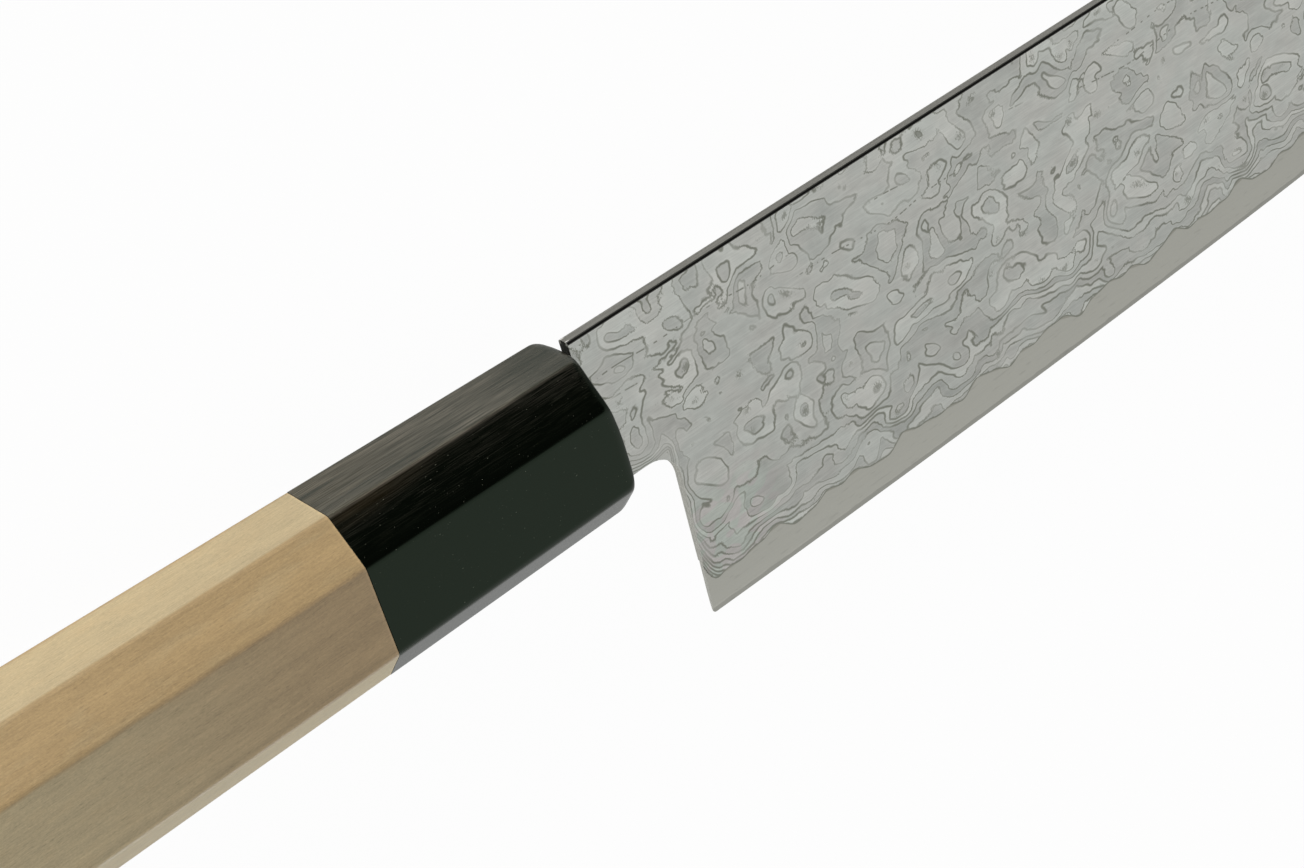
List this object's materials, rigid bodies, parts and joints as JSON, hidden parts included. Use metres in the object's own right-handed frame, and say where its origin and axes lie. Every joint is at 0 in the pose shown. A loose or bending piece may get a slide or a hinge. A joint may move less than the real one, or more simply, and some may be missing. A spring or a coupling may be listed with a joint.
{
  "type": "santoku knife",
  "caption": "Santoku kitchen knife: laminated patterned blade with level spine and rounded nose, black ferrule, octagonal wooden handle.",
  "frame": {"origin": "middle of the knife's box, on the ground plane under the knife lying on its left side", "axes": "+X along the handle's axis to the blade's tip, +Y to the spine, +Z out of the blade's right face"},
  "size_m": [0.3252, 0.0476, 0.0214],
  "materials": {
    "patterned_steel": "etched layered pattern, satin",
    "core_steel": "fine satin",
    "horn": "polished black horn with fine lengthwise fibres",
    "pale_wood": "smooth, unlacquered",
    "dowel_wood": "turned, unfinished",
    "resin": "cast"
  },
  "bodies": {
    "root": {"blade_core": "core_steel", "right_cladding": "patterned_steel", "left_cladding": "patterned_steel", "ferrule": "horn", "wooden_handle": "pale_wood", "dowel": "dowel_wood", "tang_bedding": "resin"}
  },
  "joints": []
}
